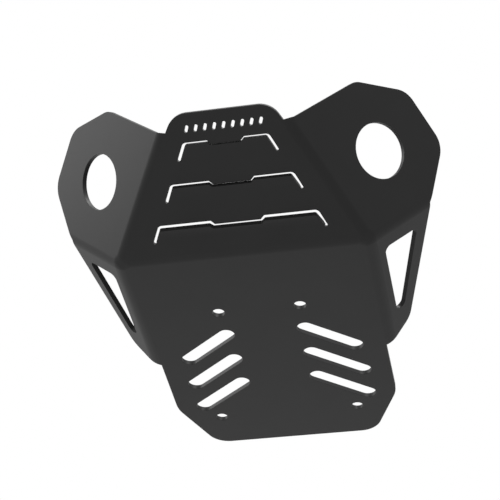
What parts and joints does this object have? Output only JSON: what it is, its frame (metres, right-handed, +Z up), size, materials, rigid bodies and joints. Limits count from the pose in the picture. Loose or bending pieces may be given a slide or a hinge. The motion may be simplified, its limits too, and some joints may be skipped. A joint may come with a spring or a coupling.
{
  "type": "motorcycle skid plate",
  "caption": "Folded sheet metal engine guard with a louvred, rising nose, swept wings with round holes, low side flanges with windows and a slotted bottom.",
  "frame": {"origin": "midway between the two front fixing holes, in the plane of the underside", "axes": "+Z up through the sheet to the engine side, +Y towards the flat tail, -Y towards the rising nose, X across"},
  "size_m": [0.3174, 0.3579, 0.1157],
  "materials": {
    "coated_sheet": "fine satin black powder coat"
  },
  "bodies": {
    "root": {"skid_plate": "coated_sheet"}
  },
  "joints": []
}
